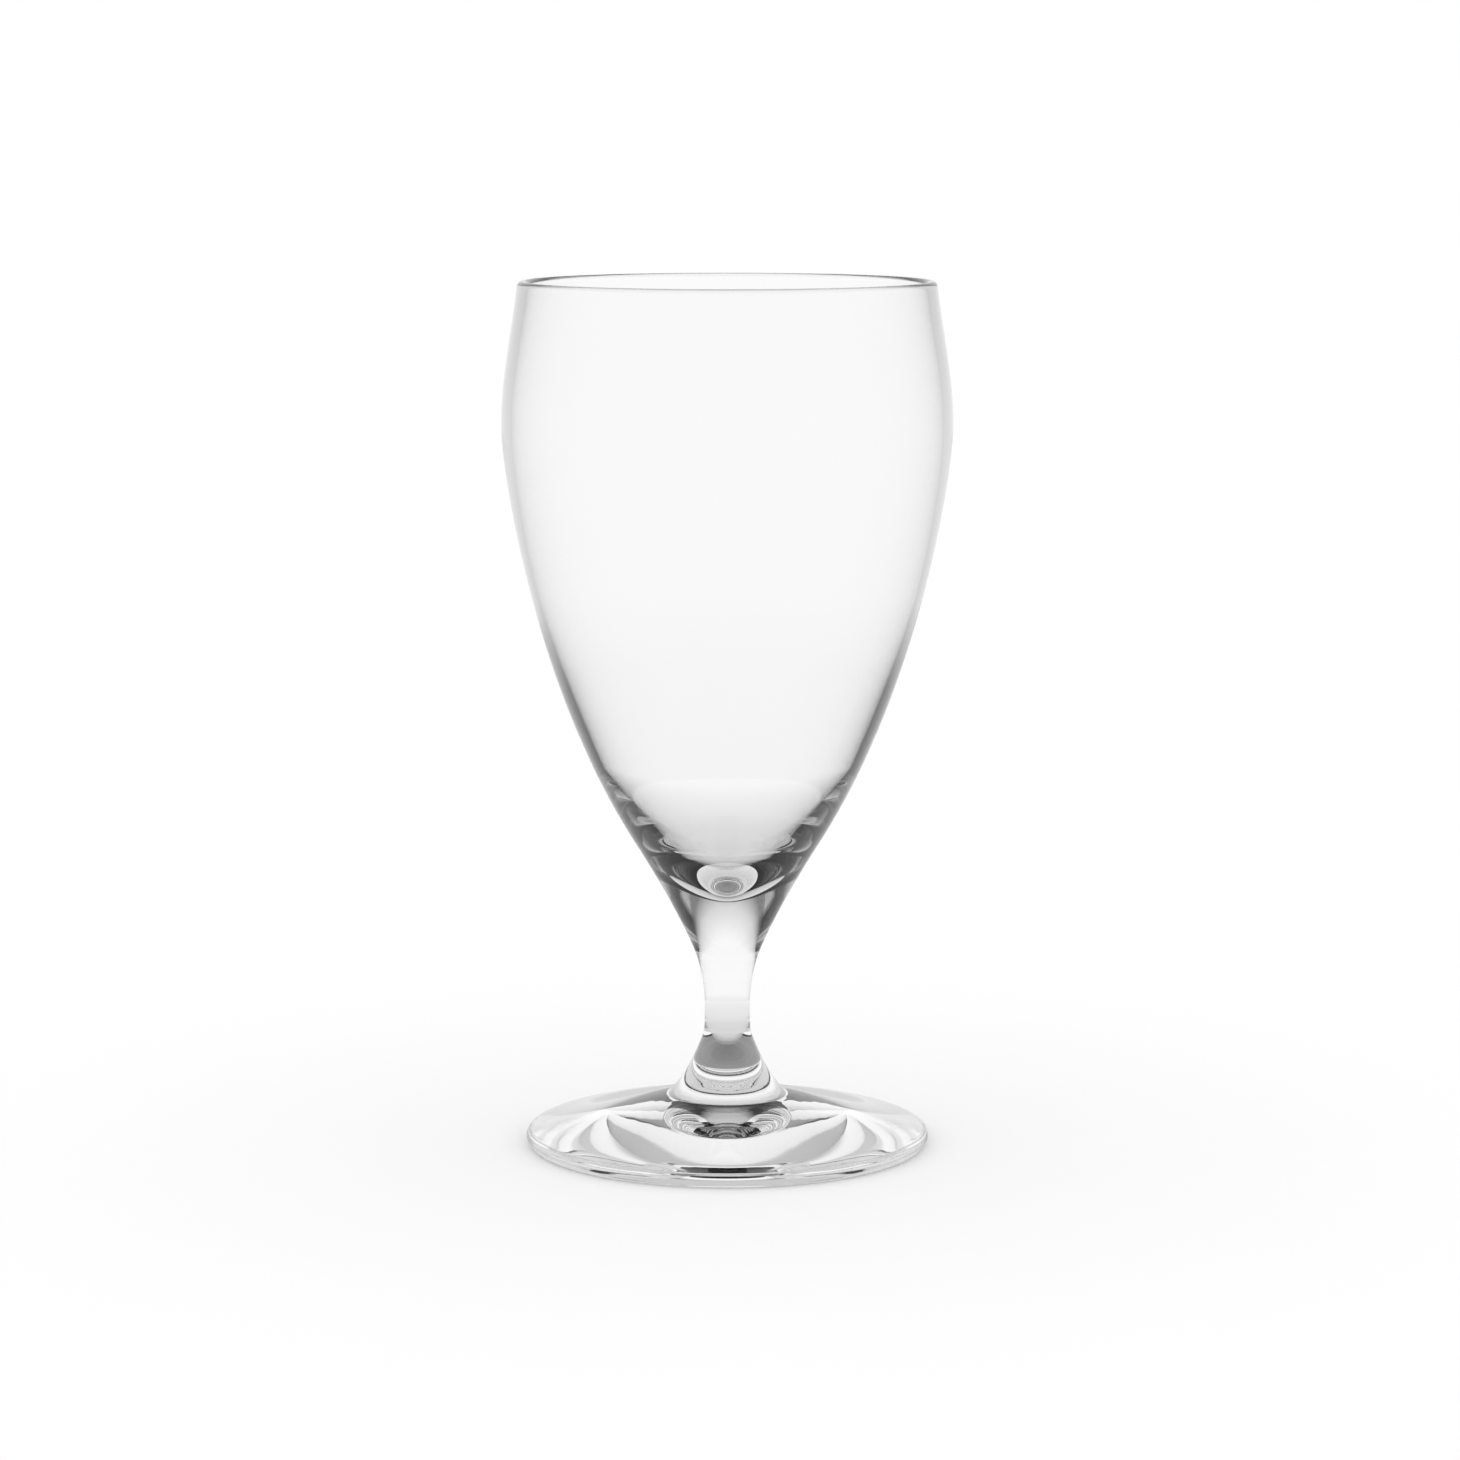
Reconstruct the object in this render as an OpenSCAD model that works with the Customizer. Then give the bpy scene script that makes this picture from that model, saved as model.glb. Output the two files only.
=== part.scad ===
// Stemmed beer glass: a blown bowl, a drawn stem and a pressed foot, joined hot end to end

/* [Overall] */
// Height of the glass from the table to the top of the lip
glass_h = 170; // [164:1:185]

/* [Bowl outside] */
// Outer diameter of the lip
rim_d = 81.4; // [76:0.2:85]
// Lean of the wall towards the axis at the lip, in degrees
rim_lean = 6.5; // [2:0.5:10]
// Outer diameter at the belly, the widest place
belly_d = 87.8; // [85:0.2:94]
// Height of the belly above the table
belly_z = 142; // [134:1:148]
// How far the belly runs upright above its widest place
belly_rise = 9.5; // [5:0.5:12]
// How far the belly runs upright below its widest place
belly_drop = 7; // [4:0.5:14]
// Outer diameter where the flank spreads most
flank_d = 36.2; // [33:0.2:40]
// Height of that place above the table
flank_z = 60; // [57:0.5:63]
// Spread of the flank from the axis, in degrees
flank_spread = 32.4; // [28:0.2:36]
// How far the flank holds that spread on its way up to the belly
flank_run = 38; // [28:0.5:44]

/* [Bowl inside] */
// Wall thickness at the lip
wall_rim = 2.2; // [1.4:0.1:3]
// Wall thickness at the belly
wall_belly = 2.1; // [1.4:0.1:3]
// Wall thickness where the flank was blown thinnest
wall_thin = 1.4; // [1:0.1:2.2]
// Height of that thinnest place above the table
thin_z = 108; // [100:1:116]
// Wall thickness where the flank starts to thicken into the base
wall_low = 1.86; // [1.4:0.02:2.4]
// Height of that place above the table
low_z = 77; // [74:0.5:82]
// How far the hollow keeps beside the flank below that place
low_run = 5.3; // [3:0.1:7]
// Level wall thickness where the hollow turns into its round bottom
wall_turn = 4.9; // [4:0.1:6]
// Height of that turn above the table
turn_z = 60; // [58:0.5:62]
// Spread of the hollow from the axis at that turn, in degrees
turn_spread = 42; // [38:0.5:46]
// How far the hollow holds that spread above the turn
turn_rise = 7.9; // [5:0.1:10]
// How far the hollow holds that spread below the turn
turn_drop = 1.25; // [0.8:0.05:3]
// Solid glass between the stem and the bottom of the hollow
base_t = 11.15; // [9:0.05:13]
// How far the bottom of the hollow runs level out from the axis
bottom_run = 4.7; // [3:0.1:6]

/* [Stem] */
// Height of the hot joint between the stem and the bowl
bowl_joint_z = 40; // [38:0.5:43]
// Diameter of that joint
bowl_joint_d = 14.2; // [12:0.2:16]
// Spread of the outline from the axis at that joint, in degrees
bowl_joint_spread = 24; // [18:0.5:28]
// Diameter of the stem at its waist
waist_d = 8.9; // [7:0.1:10]
// Height of the waist above the table
waist_z = 26.6; // [25:0.1:29]
// Height of the hot joint between the stem and the foot
foot_joint_z = 20.5; // [19:0.5:22]
// Diameter of that joint
foot_joint_d = 10.4; // [9.8:0.1:11.6]
// Spread of the outline from the axis at that joint, in degrees
foot_joint_spread = 21.5; // [16:0.5:26]

/* [Foot] */
// Outer diameter of the foot
foot_d = 79.6; // [72:0.2:86]
// Thickness of the foot at its round edge
edge_t = 2.8; // [2:0.1:4]
// Fall of the disc where it meets its round edge, in degrees
edge_fall = 6.9; // [4:0.1:10]
// Diameter where the flare of the neck runs out into the disc
flare_d = 24.3; // [22:0.1:28]
// Height of the disc's top there
flare_z = 9.6; // [8.5:0.1:10.5]
// Fall of the disc there, in degrees
flare_fall = 13.6; // [10:0.1:17]
// How far the neck holds its spread below the stem's joint
flare_rise = 8.2; // [6:0.1:9.5]
// How far the flare holds the disc's fall where it runs out
flare_run = 1; // [0.6:0.1:2]
// Depth of the dished underside at the axis
dish_h = 2.45; // [0.6:0.05:3]
// How far the dish runs level out from the axis
dish_run = 15.2; // [8:0.1:18]
// How far the dish runs level in from the ring it stands on
rest_run = 13; // [6:0.1:16]
// Width of the flat ring that the glass stands on
rest_w = 5.5; // [3:0.1:8]

/* [Hidden] */

clear_glass = [0.9, 0.93, 0.94, 0.45];
round_fn = 96;
// Points along each curve of an outline, and along each round edge
curve_steps = 16;
edge_steps = 12;
// Share of a curve's own height or width that its ends run straight, unless a length is given
end_share = 0.36;
// Height over which the lean of the flank is taken
lean_span = 2;

// Step of a given length in a direction that leans away from the axis
function lean(spread, length) = length * [sin(spread), cos(spread)];

// Step of a given length outwards in a direction that falls away from level
function fall(angle, length) = length * [cos(angle), -sin(angle)];

// Points of a cubic curve after its start, from the steps on which it leaves and arrives
function curve(start, leave, arrive, end) = [
    for (i = [1 : curve_steps])
        let (t = i / curve_steps, s = 1 - t)
            s^3 * start + 3 * s^2 * t * (start + leave) + 3 * s * t^2 * (end - arrive) + t^3 * end
];

// Point of a round edge, and the points after it up to another angle
function on_edge(centre, radius, angle) = centre + radius * [cos(angle), sin(angle)];
function round_edge(centre, radius, from, to) = [
    for (i = [1 : edge_steps])
        on_edge(centre, radius, from + (to - from) * i / edge_steps)
];

// Places on the outside of the bowl, each [radius, height]
bowl_joint_at = [bowl_joint_d / 2, bowl_joint_z];
flank_at = [flank_d / 2, flank_z];
belly_at = [belly_d / 2, belly_z];
lip_r = wall_rim / 2;
lip_at = [rim_d / 2 - lip_r, glass_h - lip_r];
rim_at = on_edge(lip_at, lip_r, rim_lean);
rim_end = end_share * (lip_at.y - belly_z);
base_end = end_share * (flank_z - bowl_joint_z);

flank_curve = curve(flank_at, lean(flank_spread, flank_run), [0, belly_drop], belly_at);

// Radius and lean of the flank's outside at a height, and the place a wall's thickness inside it
function flank_r(z) = lookup(z, [for (p = concat([flank_at], flank_curve)) [p.y, p.x]]);
function flank_lean(z) = atan((flank_r(z + lean_span / 2) - flank_r(z - lean_span / 2)) / lean_span);
function in_flank(z, wall) = [flank_r(z) - wall / cos(flank_lean(z)), z];

// Places on the inside of the bowl
rim_inner_at = on_edge(lip_at, lip_r, 180 + rim_lean);
belly_inner_at = [belly_at.x - wall_belly, belly_z];
thin_at = in_flank(thin_z, wall_thin);
low_at = in_flank(low_z, wall_low);
turn_at = [flank_r(max(turn_z, flank_z)) - wall_turn, turn_z];
hollow_at = [0, bowl_joint_z + base_t];
thin_lean = flank_lean(thin_z);
low_lean = flank_lean(low_z);
high_end = end_share * (belly_z - thin_z);
thin_end = end_share * (thin_z - low_z);

// Places on the stem and the foot
waist_at = [waist_d / 2, waist_z];
foot_joint_at = [foot_joint_d / 2, foot_joint_z];
edge_r = edge_t / 2;
edge_at = [foot_d / 2 - edge_r, edge_r];
flare_at = [flare_d / 2, flare_z];
disc_at = on_edge(edge_at, edge_r, 90 - edge_fall);
rest_at = [edge_at.x - rest_w, 0];
upper_end = end_share * (bowl_joint_z - waist_z);
lower_end = end_share * (waist_z - foot_joint_z);
disc_end = end_share * (disc_at.x - flare_at.x);

// Bowl: solid base on the stem, flank, belly, rounded lip, then down the inside to the bottom of the hollow
bowl_outline = concat(
    [[0, bowl_joint_z], bowl_joint_at],
    curve(bowl_joint_at, lean(bowl_joint_spread, base_end), lean(flank_spread, base_end), flank_at),
    flank_curve,
    curve(belly_at, [0, belly_rise], lean(-rim_lean, rim_end), rim_at),
    round_edge(lip_at, lip_r, rim_lean, 180 + rim_lean),
    curve(rim_inner_at, -lean(-rim_lean, rim_end), [0, -belly_rise], belly_inner_at),
    curve(belly_inner_at, [0, -belly_drop], -lean(thin_lean, high_end), thin_at),
    curve(thin_at, -lean(thin_lean, thin_end), -lean(low_lean, thin_end), low_at),
    curve(low_at, -lean(low_lean, low_run), -lean(turn_spread, turn_rise), turn_at),
    curve(turn_at, -lean(turn_spread, turn_drop), [-bottom_run, 0], hollow_at)
);

// Stem: from the foot's neck in to the waist and out again to the bowl
stem_outline = concat(
    [[0, foot_joint_z], foot_joint_at],
    curve(foot_joint_at, lean(-foot_joint_spread, lower_end), [0, lower_end], waist_at),
    curve(waist_at, [0, upper_end], lean(bowl_joint_spread, upper_end), bowl_joint_at),
    [[0, bowl_joint_z]]
);

// Foot: neck, flare, disc, round edge, resting ring, then in under the dish
foot_outline = concat(
    [[0, foot_joint_z], foot_joint_at],
    curve(foot_joint_at, -lean(-foot_joint_spread, flare_rise), fall(flare_fall, flare_run), flare_at),
    curve(flare_at, fall(flare_fall, disc_end), fall(edge_fall, disc_end), disc_at),
    round_edge(edge_at, edge_r, 90 - edge_fall, -90),
    [rest_at],
    curve(rest_at, [-rest_run, 0], [-dish_run, 0], [0, dish_h])
);

module turned(outline) {
    rotate_extrude($fn = round_fn)
        polygon(outline);
}

module bowl() {
    color(clear_glass)
        turned(bowl_outline);
}

module stem() {
    color(clear_glass)
        turned(stem_outline);
}

module foot() {
    color(clear_glass)
        turned(foot_outline);
}

bowl();
stem();
foot();
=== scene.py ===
import math

import bmesh
import bpy
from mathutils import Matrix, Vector
from mathutils.geometry import interpolate_bezier


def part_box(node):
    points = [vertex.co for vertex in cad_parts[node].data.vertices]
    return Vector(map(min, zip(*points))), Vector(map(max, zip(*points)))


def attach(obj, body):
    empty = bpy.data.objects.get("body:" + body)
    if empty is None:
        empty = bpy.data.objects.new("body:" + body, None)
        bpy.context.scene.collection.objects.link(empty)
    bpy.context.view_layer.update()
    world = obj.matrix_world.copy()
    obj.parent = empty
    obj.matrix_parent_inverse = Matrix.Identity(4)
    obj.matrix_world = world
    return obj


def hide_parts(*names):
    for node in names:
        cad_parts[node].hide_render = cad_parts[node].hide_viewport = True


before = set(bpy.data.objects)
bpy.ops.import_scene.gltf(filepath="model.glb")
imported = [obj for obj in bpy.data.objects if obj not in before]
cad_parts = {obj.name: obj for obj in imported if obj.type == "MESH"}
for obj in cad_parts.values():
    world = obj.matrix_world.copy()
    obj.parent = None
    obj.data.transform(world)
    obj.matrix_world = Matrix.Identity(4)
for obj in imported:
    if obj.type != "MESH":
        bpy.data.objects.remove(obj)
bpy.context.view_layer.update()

print("frame loaded:", ", ".join(sorted(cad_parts)))

mm = 0.001
samePoint = 0.002  # mm; nearer points of an outline count as one
photoSide = 1460  # pixels of the square picture


# sRGB hex to the linear colour that shader sockets take
def hexColour(code):
    parts = [int(code[i:i + 2], 16) / 255 for i in (1, 3, 5)]
    linear = [c / 12.92 if c <= 0.04045 else ((c + 0.055) / 1.055) ** 2.4 for c in parts]
    return (*linear, 1.0)


# adds a node, sets its properties and sockets, and links the sockets given as (node, output)
def addNode(tree, kind, inputs=None, **settings):
    node = tree.nodes.new(kind)
    for name, value in settings.items():
        setattr(node, name, value)
    for key, value in (inputs or {}).items():
        if isinstance(value, tuple) and isinstance(value[0], bpy.types.Node):
            tree.links.new(value[0].outputs[value[1]], node.inputs[key])
        else:
            node.inputs[key].default_value = value
    return node


def newTree(owner):
    owner.use_nodes = True
    owner.node_tree.nodes.clear()
    return owner.node_tree


# outline helpers: points are (radius, 0, height) in millimetres
def at(radius, height):
    return Vector((radius, 0, height))


def lean(spread, length):  # a step that leans away from the axis by an angle
    return at(math.sin(math.radians(spread)), math.cos(math.radians(spread))) * length


def fall(angle, length):  # a step outwards that falls away from level
    return at(math.cos(math.radians(angle)), -math.sin(math.radians(angle))) * length


def curve(start, leave, arrive, end, count):
    return list(interpolate_bezier(start, start + leave, end - arrive, end, count))


def onEdge(centre, radius, angle):
    return centre + at(math.cos(math.radians(angle)), math.sin(math.radians(angle))) * radius


def roundEdge(centre, radius, begin, stop, count):
    return [onEdge(centre, radius, begin + (stop - begin) * i / (count - 1)) for i in range(count)]


# spins an outline round the axis into a closed piece; joint heights get the second material
def turnPiece(name, outline, jointHeights, turns, materials):
    bm = bmesh.new()
    points = [outline[0]]
    for point in outline[1:]:
        if (point - points[-1]).length > samePoint:
            points.append(point)
    chain = [bm.verts.new(point * mm) for point in points]
    edges = [bm.edges.new(pair) for pair in zip(chain, chain[1:])]
    bmesh.ops.spin(bm, geom=chain + edges, cent=(0, 0, 0), axis=(0, 0, 1), angle=math.tau,
                   steps=turns, use_merge=True)
    bmesh.ops.remove_doubles(bm, verts=bm.verts, dist=samePoint / 4 * mm)
    bmesh.ops.recalc_face_normals(bm, faces=bm.faces)
    for face in bm.faces:
        face.smooth = True
        for height in jointHeights:
            if all(abs(v.co.z - height * mm) < 1e-7 for v in face.verts):
                face.material_index = 1
                face.smooth = False
    for edge in bm.edges:
        if len({face.material_index for face in edge.link_faces}) > 1:
            edge.smooth = False
    mesh = bpy.data.meshes.new(name)
    bm.to_mesh(mesh)
    bm.free()
    for material in materials:
        mesh.materials.append(material)
    piece = bpy.data.objects.new(name, mesh)
    bpy.context.scene.collection.objects.link(piece)
    return piece


# clear soda-lime glass, fire-polished: no colour of its own, mirror-smooth, bends light by 1.52; how a piece
# was shaped leaves a swell too faint to see on its face, which shows as a waver in what is seen through it
def makeGlass(name, finish):
    material = bpy.data.materials.new(name)
    tree = newTree(material)
    place = addNode(tree, "ShaderNodeTexCoord")
    swell = addNode(tree, "ShaderNodeTexNoise", {"Vector": (place, "Object"), "Detail": 1.0,
                                                 "Scale": 1 / (finish["swellWidth"] * mm)})
    bump = addNode(tree, "ShaderNodeBump", {"Height": (swell, 0), "Distance": finish["swellHeight"] * mm})
    if "ringWidth" in finish:  # rings that the tool left as the hot foot was turned
        flat = addNode(tree, "ShaderNodeVectorMath", {0: (place, "Object"), 1: (1, 1, 0)},
                       operation="MULTIPLY")
        radius = addNode(tree, "ShaderNodeVectorMath", {0: (flat, "Vector")}, operation="LENGTH")
        turns = addNode(tree, "ShaderNodeMath", {
            0: (radius, "Value"), 1: math.tau / (finish["ringWidth"] * mm)}, operation="MULTIPLY")
        wander = addNode(tree, "ShaderNodeMath", {
            0: (swell, 0), 1: finish["ringWander"], 2: (turns, "Value")}, operation="MULTIPLY_ADD")
        ring = addNode(tree, "ShaderNodeMath", {0: (wander, "Value")}, operation="SINE")
        fade = addNode(tree, "ShaderNodeMapRange", {
            "Value": (radius, "Value"), "From Min": finish["ringNear"] * mm,
            "From Max": finish["ringFar"] * mm, "To Min": 1.0, "To Max": 0.0})
        marks = addNode(tree, "ShaderNodeMath", {0: (ring, "Value"), 1: (fade, "Result")},
                        operation="MULTIPLY")
        bump = addNode(tree, "ShaderNodeBump", {
            "Height": (marks, "Value"), "Distance": finish["ringHeight"] * mm, "Normal": (bump, "Normal")})
    shader = addNode(tree, "ShaderNodeBsdfPrincipled", {
        "Base Color": hexColour("#ffffff"), "Roughness": 0.0, "IOR": 1.52, "Transmission Weight": 1.0,
        "Normal": (bump, "Normal")})
    addNode(tree, "ShaderNodeOutputMaterial", {"Surface": (shader, "BSDF")})
    return material


# the melted joint inside the glass: light goes straight through it
def makeMeltedJoint():
    material = bpy.data.materials.new("meltedJoint")
    tree = newTree(material)
    shader = addNode(tree, "ShaderNodeBsdfTransparent", {"Color": (1, 1, 1, 1)})
    addNode(tree, "ShaderNodeOutputMaterial", {"Surface": (shader, "BSDF")})
    return material


# widths and heights of the marks in millimetres
blownFinish = {"swellWidth": 18, "swellHeight": 0.02}
drawnFinish = {"swellWidth": 7, "swellHeight": 0.01}
spunFinish = {"swellWidth": 11, "swellHeight": 0.02, "ringWidth": 2.3, "ringHeight": 0.0015,
              "ringWander": 3.0, "ringNear": 8, "ringFar": 26}
meltedJoint = makeMeltedJoint()
blownGlass = makeGlass("blownGlass", blownFinish)
drawnGlass = makeGlass("drawnGlass", drawnFinish)
spunGlass = makeGlass("spunGlass", spunFinish)

# sizes in millimetres, angles in degrees; a run is how far a curve's end keeps straight
bowlSize = {
    "rimDiameter": 81.4, "rimLean": 6.5, "bellyDiameter": 87.8, "bellyHeight": 142, "bellyRise": 9.5,
    "bellyDrop": 7,
    "flankDiameter": 36.2, "flankHeight": 60, "flankSpread": 32.4, "flankRun": 38,
    "wallRim": 2.2, "wallBelly": 2.1, "wallThin": 1.4, "thinHeight": 108, "wallLow": 1.86, "lowHeight": 77,
    "lowRun": 5.3, "wallTurn": 4.9, "turnHeight": 60, "turnSpread": 42, "turnRise": 7.9, "turnDrop": 1.25,
    "baseThickness": 11.15, "bottomRun": 4.7, "jointDiameter": 14.2, "jointSpread": 24,
    "endShare": 0.36, "turns": 192, "curvePoints": 40, "edgePoints": 24,
}
low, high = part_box("bowl")
bowlJoint = low.z / mm
glassHeight = high.z / mm


def bowlOutline(s):
    n = s["curvePoints"]
    joint = at(s["jointDiameter"] / 2, bowlJoint)
    flank = at(s["flankDiameter"] / 2, s["flankHeight"])
    belly = at(s["bellyDiameter"] / 2, s["bellyHeight"])
    lipRadius = s["wallRim"] / 2
    lip = at(s["rimDiameter"] / 2 - lipRadius, glassHeight - lipRadius)
    rimEnd = s["endShare"] * (lip.z - belly.z)
    baseEnd = s["endShare"] * (flank.z - joint.z)
    flankCurve = curve(flank, lean(s["flankSpread"], s["flankRun"]), at(0, s["bellyDrop"]), belly, 2 * n)

    def flankRadius(height):  # outside of the flank at a height
        for a, b in zip(flankCurve, flankCurve[1:]):
            if a.z <= height <= b.z:
                return a.x + (b.x - a.x) * (height - a.z) / (b.z - a.z)
        return flank.x

    def insideWall(height, wall):  # a place a wall's thickness inside the flank, and the flank's lean there
        slope = math.degrees(math.atan((flankRadius(height + 1) - flankRadius(height - 1)) / 2))
        return at(flankRadius(height) - wall / math.cos(math.radians(slope)), height), slope

    thin, thinLean = insideWall(s["thinHeight"], s["wallThin"])
    low, lowLean = insideWall(s["lowHeight"], s["wallLow"])
    turn = at(flankRadius(s["turnHeight"]) - s["wallTurn"], s["turnHeight"])
    hollow = at(0, bowlJoint + s["baseThickness"])
    highEnd = s["endShare"] * (belly.z - thin.z)
    thinEnd = s["endShare"] * (thin.z - low.z)
    rim = onEdge(lip, lipRadius, s["rimLean"])
    rimInner = onEdge(lip, lipRadius, 180 + s["rimLean"])
    bellyInner = at(belly.x - s["wallBelly"], belly.z)
    return (
        [at(0, bowlJoint)]
        + curve(joint, lean(s["jointSpread"], baseEnd), lean(s["flankSpread"], baseEnd), flank, n)
        + flankCurve
        + curve(belly, at(0, s["bellyRise"]), lean(-s["rimLean"], rimEnd), rim, n)
        + roundEdge(lip, lipRadius, s["rimLean"], 180 + s["rimLean"], s["edgePoints"])
        + curve(rimInner, -lean(-s["rimLean"], rimEnd), at(0, -s["bellyRise"]), bellyInner, n)
        + curve(bellyInner, at(0, -s["bellyDrop"]), -lean(thinLean, highEnd), thin, n)
        + curve(thin, -lean(thinLean, thinEnd), -lean(lowLean, thinEnd), low, n)
        + curve(low, -lean(lowLean, s["lowRun"]), -lean(s["turnSpread"], s["turnRise"]), turn, n)
        + curve(turn, -lean(s["turnSpread"], s["turnDrop"]), at(-s["bottomRun"], 0), hollow, n)
    )


stemSize = {"waistDiameter": 8.9, "waistHeight": 26.6, "footJointDiameter": 10.4, "footJointSpread": 21.5,
            "endShare": 0.36, "turns": 192, "curvePoints": 40}
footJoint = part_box("stem")[0].z / mm


def stemOutline(s):
    n = s["curvePoints"]
    lowJoint = at(s["footJointDiameter"] / 2, footJoint)
    waist = at(s["waistDiameter"] / 2, s["waistHeight"])
    highJoint = at(bowlSize["jointDiameter"] / 2, bowlJoint)
    lowEnd = s["endShare"] * (waist.z - footJoint)
    highEnd = s["endShare"] * (bowlJoint - waist.z)
    return (
        [at(0, footJoint)]
        + curve(lowJoint, lean(-s["footJointSpread"], lowEnd), at(0, lowEnd), waist, n)
        + curve(waist, at(0, highEnd), lean(bowlSize["jointSpread"], highEnd), highJoint, n)
        + [at(0, bowlJoint)]
    )


footSize = {
    "footDiameter": 79.6, "edgeThickness": 2.8, "edgeFall": 6.9, "flareDiameter": 24.3, "flareHeight": 9.6,
    "flareFall": 13.6, "flareRise": 8.2, "flareRun": 1.0, "dishDepth": 2.45, "dishRun": 15.2, "restRun": 13.0,
    "restWidth": 5.5, "endShare": 0.36, "turns": 192, "curvePoints": 48, "edgePoints": 24,
}


def footOutline(s):
    n = s["curvePoints"]
    joint = at(stemSize["footJointDiameter"] / 2, footJoint)
    edgeRadius = s["edgeThickness"] / 2
    edge = at(s["footDiameter"] / 2 - edgeRadius, edgeRadius)
    flare = at(s["flareDiameter"] / 2, s["flareHeight"])
    disc = onEdge(edge, edgeRadius, 90 - s["edgeFall"])
    rest = at(edge.x - s["restWidth"], 0)
    discEnd = s["endShare"] * (disc.x - flare.x)
    neckStep = -lean(-stemSize["footJointSpread"], s["flareRise"])
    return (
        [at(0, footJoint)]
        + curve(joint, neckStep, fall(s["flareFall"], s["flareRun"]), flare, n)
        + curve(flare, fall(s["flareFall"], discEnd), fall(s["edgeFall"], discEnd), disc, n)
        + roundEdge(edge, edgeRadius, 90 - s["edgeFall"], -90, s["edgePoints"])
        + curve(rest, at(-s["restRun"], 0), at(-s["dishRun"], 0), at(0, s["dishDepth"]), n)
    )


pieces = {
    "bowl": turnPiece("bowlGlass", bowlOutline(bowlSize), [bowlJoint], bowlSize["turns"],
                      [blownGlass, meltedJoint]),
    "stem": turnPiece("stemGlass", stemOutline(stemSize), [footJoint, bowlJoint], stemSize["turns"],
                      [drawnGlass, meltedJoint]),
    "foot": turnPiece("footGlass", footOutline(footSize), [footJoint], footSize["turns"],
                      [spunGlass, meltedJoint]),
}
for node, piece in pieces.items():
    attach(piece, "root")
    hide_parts(node)
print("glass turned:", ", ".join(f"{p.name} {len(p.data.polygons)} faces" for p in pieces.values()))

# studio: the camera sees plain white; through the glass show a table with painted shade, dimmer near the foot
# where the glass's shadow falls, and a lit backdrop under a dim ceiling
studio = {
    "floorWidth": 6000, "floorDrop": 0.1, "matt": "#f6f6f6", "lift": 0.1, "shadeLight": 0.85,
    # painted shade on the table, seen only through the glass, by mm from the axis; light of the sky by
    # degrees above level
    "table": [(0, 0.2), (14, 0.3), (25, 0.6), (40, 0.65), (120, 0.8), (260, 1.0)],
    "sky": [(0, 1.0), (20, 1.0), (28, 0.7), (35, 0.15), (50, 0.0)],
}
# grey cards stood close round the bowl and stem, dark low down, which only light turned back inside the glass
# meets:
# their glow is a painted reflection that draws the glass's edges grey and its thick base dark with painted
# shade, and the foot looks out below them
cards = {
    "radius": 60, "low": 22, "high": 260,
    # glow of the cards, their painted reflection and shade, by mm above the table
    "light": [(22, 0.0), (75, 0.02), (100, 0.5), (140, 0.6), (200, 0.4)],
}


def setStops(ramp, stops, reach):  # fills a colour ramp from pairs of place and light
    elements = ramp.color_ramp.elements
    for i, (place, light) in enumerate(stops):
        stop = elements[i] if i < 2 else elements.new(1.0)
        stop.position = place / reach
        stop.color = (light, light, light, 1)


def makeFloor(s):
    bm = bmesh.new()
    bmesh.ops.create_circle(bm, cap_ends=True, segments=96, radius=s["floorWidth"] / 2 * mm)
    mesh = bpy.data.meshes.new("floor")
    bm.to_mesh(mesh)
    bm.free()
    floor = bpy.data.objects.new("floor", mesh)
    bpy.context.scene.collection.objects.link(floor)
    floor.location.z = -s["floorDrop"] * mm
    material = bpy.data.materials.new("paleTableWithPaintedShade")
    tree = newTree(material)
    path = addNode(tree, "ShaderNodeLightPath")
    place = addNode(tree, "ShaderNodeTexCoord")
    away = addNode(tree, "ShaderNodeVectorMath", {0: (place, "Object")}, operation="LENGTH")
    reach = s["table"][-1][0]
    outward = addNode(tree, "ShaderNodeMath", {0: (away, "Value"), 1: reach * mm}, operation="DIVIDE")
    level = addNode(tree, "ShaderNodeValToRGB", {0: (outward, "Value")})
    setStops(level, s["table"], reach)
    # emission that only glass rays see: a painted shadow of the glass on the table, darker near the foot
    paintedShadeThroughGlass = addNode(tree, "ShaderNodeEmission", {"Color": (1, 1, 1, 1), "Strength": (level, "Color")})
    matt = addNode(tree, "ShaderNodeBsdfDiffuse", {"Color": hexColour(s["matt"])})
    lift = addNode(tree, "ShaderNodeEmission", {"Color": (1, 1, 1, 1), "Strength": s["lift"]})
    white = addNode(tree, "ShaderNodeAddShader", {0: (matt, "BSDF"), 1: (lift, "Emission")})
    byGlass = addNode(tree, "ShaderNodeMath", {0: (path, "Is Transmission Ray"), 1: (path, "Is Glossy Ray")},
                      operation="MAXIMUM")
    both = addNode(tree, "ShaderNodeMixShader", {0: (byGlass, "Value"), 1: (white, "Shader"),
                                                 2: (paintedShadeThroughGlass, "Emission")})
    addNode(tree, "ShaderNodeOutputMaterial", {"Surface": (both, "Shader")})
    mesh.materials.append(material)


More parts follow.
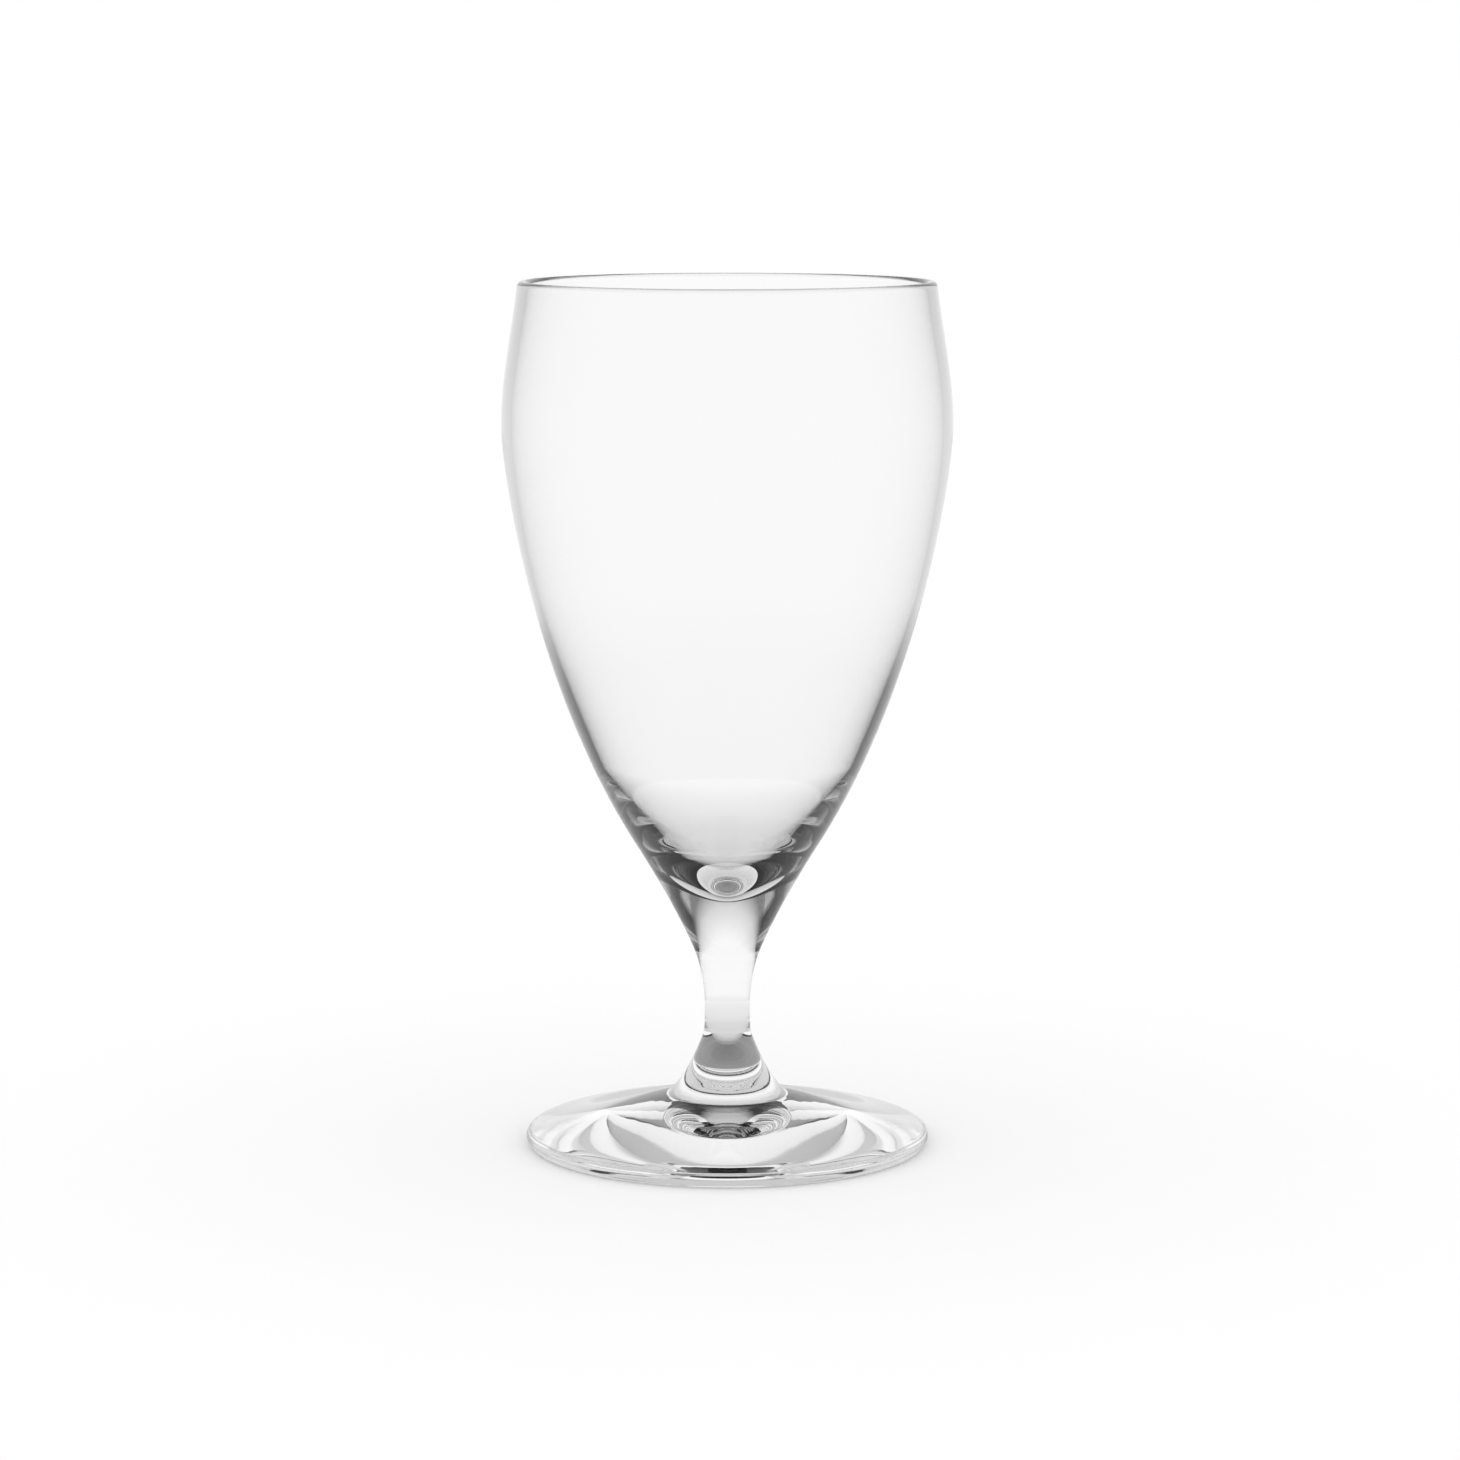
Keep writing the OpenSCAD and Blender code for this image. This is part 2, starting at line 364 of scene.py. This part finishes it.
def makeCards(s):
    bm = bmesh.new()
    ring = bmesh.ops.create_circle(bm, segments=96, radius=s["radius"] * mm)["verts"]
    bmesh.ops.translate(bm, verts=ring, vec=(0, 0, s["low"] * mm))
    wall = bmesh.ops.extrude_edge_only(bm, edges=bm.edges[:])["geom"]
    raised = [part for part in wall if isinstance(part, bmesh.types.BMVert)]
    bmesh.ops.translate(bm, verts=raised, vec=(0, 0, (s["high"] - s["low"]) * mm))
    mesh = bpy.data.meshes.new("cardsOfPaintedShade")
    bm.to_mesh(mesh)
    bm.free()
    ringOfCards = bpy.data.objects.new("cardsOfPaintedShade", mesh)
    bpy.context.scene.collection.objects.link(ringOfCards)
    material = bpy.data.materials.new("cardGlowOfPaintedShade")
    tree = newTree(material)
    path = addNode(tree, "ShaderNodeLightPath")
    place = addNode(tree, "ShaderNodeTexCoord")
    up = addNode(tree, "ShaderNodeSeparateXYZ", {0: (place, "Object")})
    upward = addNode(tree, "ShaderNodeMath", {0: (up, "Z"), 1: s["high"] * mm}, operation="DIVIDE")
    level = addNode(tree, "ShaderNodeValToRGB", {0: (upward, "Value")})
    setStops(level, s["light"], s["high"])
    # painted reflection and shade: the cards glow only for light that has both turned and gone through the
    # glass
    paintedShadeGlow = addNode(tree, "ShaderNodeEmission", {"Color": (1, 1, 1, 1), "Strength": (level, "Color")})
    clear = addNode(tree, "ShaderNodeBsdfTransparent", {"Color": (1, 1, 1, 1)})
    wasTurned = addNode(tree, "ShaderNodeMath", {0: (path, "Glossy Depth"), 1: 0.5},
                        operation="GREATER_THAN")
    wasInside = addNode(tree, "ShaderNodeMath", {0: (path, "Transmission Depth"), 1: 0.5},
                        operation="GREATER_THAN")
    meets = addNode(tree, "ShaderNodeMath", {0: (wasTurned, "Value"), 1: (wasInside, "Value")},
                    operation="MULTIPLY")
    both = addNode(tree, "ShaderNodeMixShader", {0: (meets, "Value"), 1: (clear, "BSDF"),
                                                 2: (paintedShadeGlow, "Emission")})
    addNode(tree, "ShaderNodeOutputMaterial", {"Surface": (both, "Shader")})
    mesh.materials.append(material)


def makeWorld(s):
    world = bpy.data.worlds.new("studio")
    bpy.context.scene.world = world
    tree = newTree(world)
    path = addNode(tree, "ShaderNodeLightPath")
    place = addNode(tree, "ShaderNodeTexCoord")
    way = addNode(tree, "ShaderNodeSeparateXYZ", {0: (place, "Generated")})
    rise = addNode(tree, "ShaderNodeMath", {0: (way, "Z")}, operation="ARCSINE")
    upward = addNode(tree, "ShaderNodeMath", {0: (rise, "Value"), 1: math.pi / 2}, operation="DIVIDE")
    level = addNode(tree, "ShaderNodeValToRGB", {0: (upward, "Value")})
    setStops(level, s["sky"], 90)
    level = addNode(tree, "ShaderNodeMix", {0: (path, "Diffuse Depth"), 2: (level, "Color"),
                                            3: s["shadeLight"]})
    byGlass = addNode(tree, "ShaderNodeMath", {0: (path, "Is Transmission Ray"), 1: (path, "Is Glossy Ray")},
                      operation="MAXIMUM")
    level = addNode(tree, "ShaderNodeMix", {0: (byGlass, "Value"), 2: 1.0, 3: (level, 0)})
    light = addNode(tree, "ShaderNodeBackground", {"Color": (1, 1, 1, 1), "Strength": (level, 0)})
    addNode(tree, "ShaderNodeOutputWorld", {"Surface": (light, "Background")})


makeFloor(studio)
makeCards(cards)
makeWorld(studio)
bounces = 24  # light runs a long way round inside the foot and the thick base
cycles = bpy.context.scene.cycles
cycles.max_bounces = bounces
cycles.glossy_bounces = bounces
cycles.transmission_bounces = bounces
cycles.transparent_max_bounces = bounces
print("studio set")

# camera at the photograph's viewing angle
cameraSize = {"focalPixels": 4355, "pitch": 8.186, "distance": 845.25, "height": 203.86,
              "axisPixel": 727.25, "sensorWidth": 36, "clipStart": 50}


def makeCamera(s):
    data = bpy.data.cameras.new("camera")
    data.sensor_width = s["sensorWidth"]
    data.lens = data.sensor_width * s["focalPixels"] / photoSide
    data.clip_start = s["clipStart"] * mm
    camera = bpy.data.objects.new("camera", data)
    bpy.context.scene.collection.objects.link(camera)
    aside = (photoSide / 2 - s["axisPixel"]) * s["distance"] / s["focalPixels"]
    camera.location = Vector((aside, -s["distance"], s["height"])) * mm
    camera.rotation_euler = (math.radians(90 - s["pitch"]), 0, 0)
    bpy.context.scene.camera = camera


makeCamera(cameraSize)
bpy.context.scene.view_settings.view_transform = "Standard"
